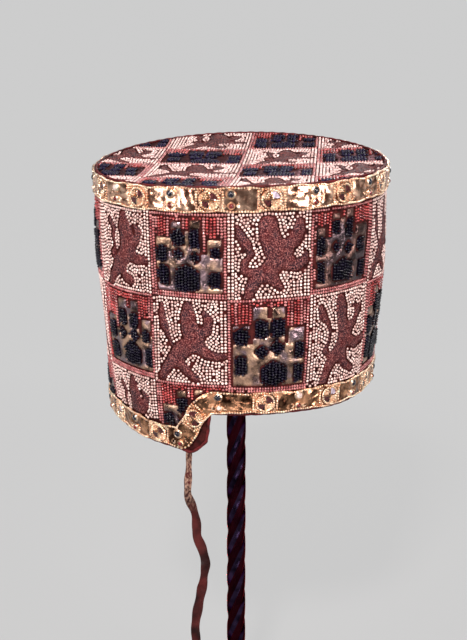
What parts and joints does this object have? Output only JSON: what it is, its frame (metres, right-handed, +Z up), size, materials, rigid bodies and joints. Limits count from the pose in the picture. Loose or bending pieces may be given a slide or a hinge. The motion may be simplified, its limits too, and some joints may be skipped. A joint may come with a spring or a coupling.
{
  "type": "medieval hat on a stand",
  "caption": "Round medieval pillbox hat of bead-embroidered cloth with gilt jewelled bands and a ribbon tie, held up on a twisted iron stand with a round foot.",
  "frame": {"origin": "middle of the foot's underside, where the stand rests", "axes": "+Z up along the post; the forehead of the hat faces -Y and its ribbon hangs on the -X side"},
  "size_m": [0.1944, 0.1953, 0.4196],
  "materials": {
    "embroidery": "worn silk, beads and pearls",
    "gilt": "bright crumpled gilt",
    "ribbon_silk": "worn woven silk",
    "dark_iron": "dark satin",
    "pad_felt": "felt"
  },
  "bodies": {
    "root": {"crown_wall": "embroidery", "crown_top": "embroidery", "top_band": "gilt", "rim_band": "gilt", "top_roundel_01": "gilt", "top_roundel_02": "gilt", "top_roundel_03": "gilt", "top_roundel_04": "gilt", "top_roundel_05": "gilt", "top_roundel_06": "gilt", "top_roundel_07": "gilt", "top_roundel_08": "gilt", "top_roundel_09": "gilt", "top_roundel_10": "gilt", "top_roundel_11": "gilt", "top_roundel_12": "gilt", "top_roundel_13": "gilt", "top_roundel_14": "gilt", "rim_roundel_01": "gilt", "rim_roundel_02": "gilt", "rim_roundel_03": "gilt", "rim_roundel_04": "gilt", "rim_roundel_05": "gilt", "rim_roundel_06": "gilt", "rim_roundel_07": "gilt", "rim_roundel_08": "gilt", "rim_roundel_09": "gilt", "rim_roundel_10": "gilt", "rim_roundel_11": "gilt", "rim_roundel_12": "gilt", "rim_roundel_13": "gilt", "rim_roundel_14": "gilt", "ribbon": "ribbon_silk", "post": "dark_iron", "foot": "dark_iron", "pad": "pad_felt"}
  },
  "joints": []
}
